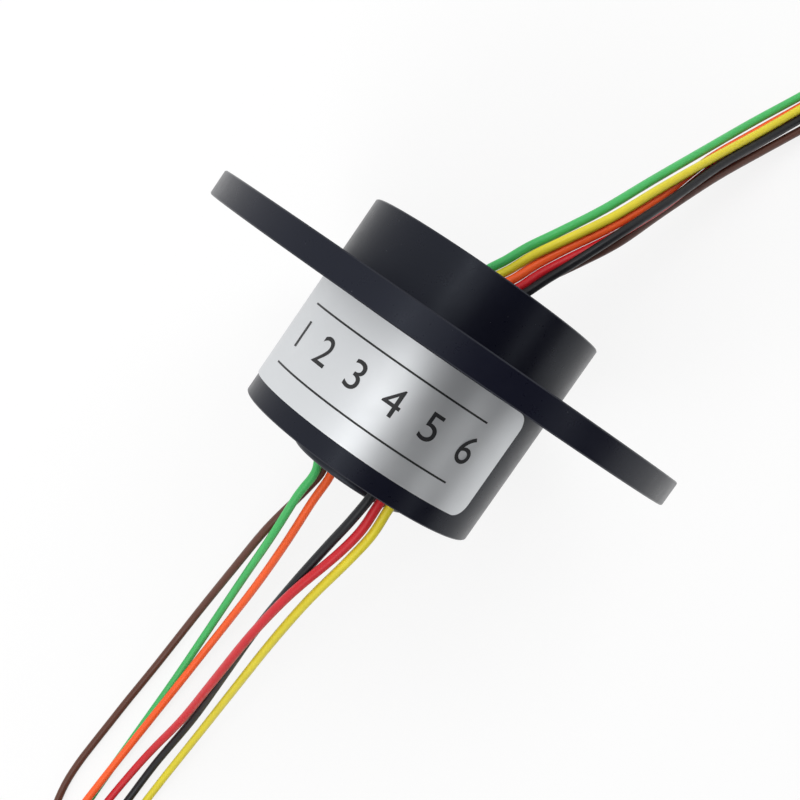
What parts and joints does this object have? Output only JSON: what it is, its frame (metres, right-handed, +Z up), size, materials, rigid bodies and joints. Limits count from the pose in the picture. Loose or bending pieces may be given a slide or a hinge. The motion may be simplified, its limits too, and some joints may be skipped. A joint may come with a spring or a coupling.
{
  "type": "slip ring",
  "caption": "Flanged capsule slip ring: round housing with a drilled flange, ball-bearing rotor with contact rings and brush wires inside, and coloured leads coiled at each end.",
  "frame": {"origin": "on the rotation axis, in the flange's face on the stator side", "axes": "+X along the rotation axis from the stator end to the rotor end; +Z up, so that the leads droop to a surface that the flange's rim touches at Z = -22.2 mm"},
  "size_m": [0.1815, 0.051, 0.0444],
  "materials": {
    "housing": "satin black moulded plastic",
    "cap": "satin dark moulded plastic",
    "foil": "satin silver foil",
    "shaft": "dark glass-filled plastic",
    "potting": "glossy black epoxy",
    "contact": "gold-plated, polished",
    "barrier": "blue plastic",
    "block": "dark green plastic",
    "wire": "gold alloy, drawn",
    "steel": "ground bearing steel",
    "cage": "pressed brass",
    "lead_green": "green insulation",
    "lead_yellow": "yellow insulation",
    "lead_orange": "orange insulation",
    "lead_red": "red insulation",
    "lead_black": "black insulation",
    "lead_brown": "brown insulation",
    "tie": "natural nylon"
  },
  "bodies": {
    "stator": {"housing": "housing", "end_cap": "cap", "label": "foil", "brush_block_near": "block", "brush_block_far": "block", "brush_wires_near": "wire", "brush_wires_far": "wire", "big_outer_race": "steel", "small_outer_race": "steel", "stator_lead_green": "lead_green", "stator_lead_yellow": "lead_yellow", "stator_lead_orange": "lead_orange", "stator_lead_red": "lead_red", "stator_lead_black": "lead_black", "stator_lead_brown": "lead_brown", "stator_coil": "lead_black", "stator_ties": "tie", "rotor_lead_green": "lead_green", "rotor_lead_yellow": "lead_yellow", "rotor_lead_orange": "lead_orange", "rotor_lead_red": "lead_red", "rotor_lead_black": "lead_black", "rotor_lead_brown": "lead_brown", "rotor_coil": "lead_black", "rotor_ties": "tie"},
    "rotor": {"rotor_shaft": "shaft", "rotor_potting": "potting", "dust_cover": "cap", "spacer": "steel", "contact_ring_1": "contact", "contact_ring_2": "contact", "contact_ring_3": "contact", "contact_ring_4": "contact", "contact_ring_5": "contact", "contact_ring_6": "contact", "barrier_1": "barrier", "barrier_2": "barrier", "barrier_3": "barrier", "barrier_4": "barrier", "barrier_5": "barrier", "barrier_6": "barrier", "barrier_7": "barrier", "big_inner_race": "steel", "small_inner_race": "steel"},
    "big_ball_train": {"big_cage": "cage", "big_balls": "steel"},
    "small_ball_train": {"small_cage": "cage", "small_balls": "steel"}
  },
  "joints": [
    {"name": "rotor_spin", "type": "hinge", "parent": "stator", "child": "rotor", "pos_m": [0, 0, 0], "axis": [1, 0, 0], "continuous": true},
    {"name": "big_train_spin", "type": "hinge", "parent": "stator", "child": "big_ball_train", "pos_m": [0.0047, 0, 0], "axis": [1, 0, 0], "continuous": true},
    {"name": "small_train_spin", "type": "hinge", "parent": "stator", "child": "small_ball_train", "pos_m": [-0.01085, 0, 0], "axis": [1, 0, 0], "continuous": true}
  ],
  "couplings": [
    {"joint": "big_train_spin", "follows": "rotor_spin", "ratio": 0.4391},
    {"joint": "small_train_spin", "follows": "rotor_spin", "ratio": 0.4385}
  ]
}
